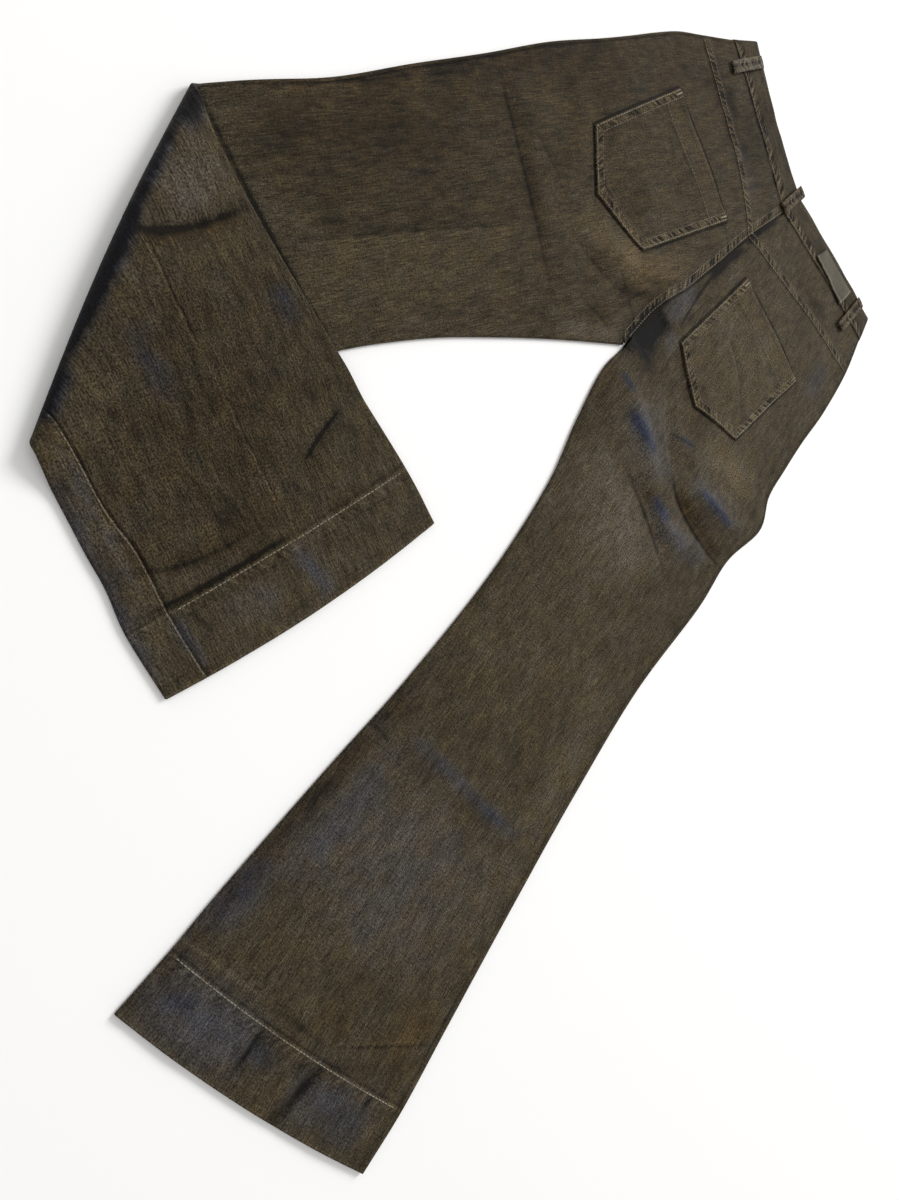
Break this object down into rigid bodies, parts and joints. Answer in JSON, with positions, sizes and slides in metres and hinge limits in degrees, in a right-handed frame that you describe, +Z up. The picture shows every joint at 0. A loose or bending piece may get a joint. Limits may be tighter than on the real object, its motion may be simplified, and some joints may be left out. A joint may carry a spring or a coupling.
{
  "type": "bootcut jeans",
  "caption": "Bootcut jeans laid face down, back side up, the left lower leg folded over so its front shows; back pockets, yokes, waistband with belt loops and a blank patch.",
  "frame": {"origin": "centre of the laid garment's bounding box, on the surface it lies on", "axes": "+Z up off the surface; +Y towards the waist end; +X to the right seen from above, so the waist is at +X +Y and the hems are at -X -Y"},
  "size_m": [0.9196, 1.0571, 0.018],
  "materials": {
    "denim": "coated heathered denim, brown-black, low sheen",
    "denim_trim": "the same denim, worn a little paler",
    "patch": "thin leather-like board, blank, matt grey-olive"
  },
  "bodies": {
    "root": {"left_front_panel": "denim", "right_front_panel": "denim", "left_back_panel": "denim", "right_back_panel": "denim", "left_yoke": "denim", "right_yoke": "denim", "waistband": "denim_trim", "left_back_pocket": "denim_trim", "right_back_pocket": "denim_trim", "belt_loop_left": "denim_trim", "belt_loop_centre": "denim_trim", "belt_loop_right": "denim_trim", "patch": "patch"}
  },
  "joints": []
}
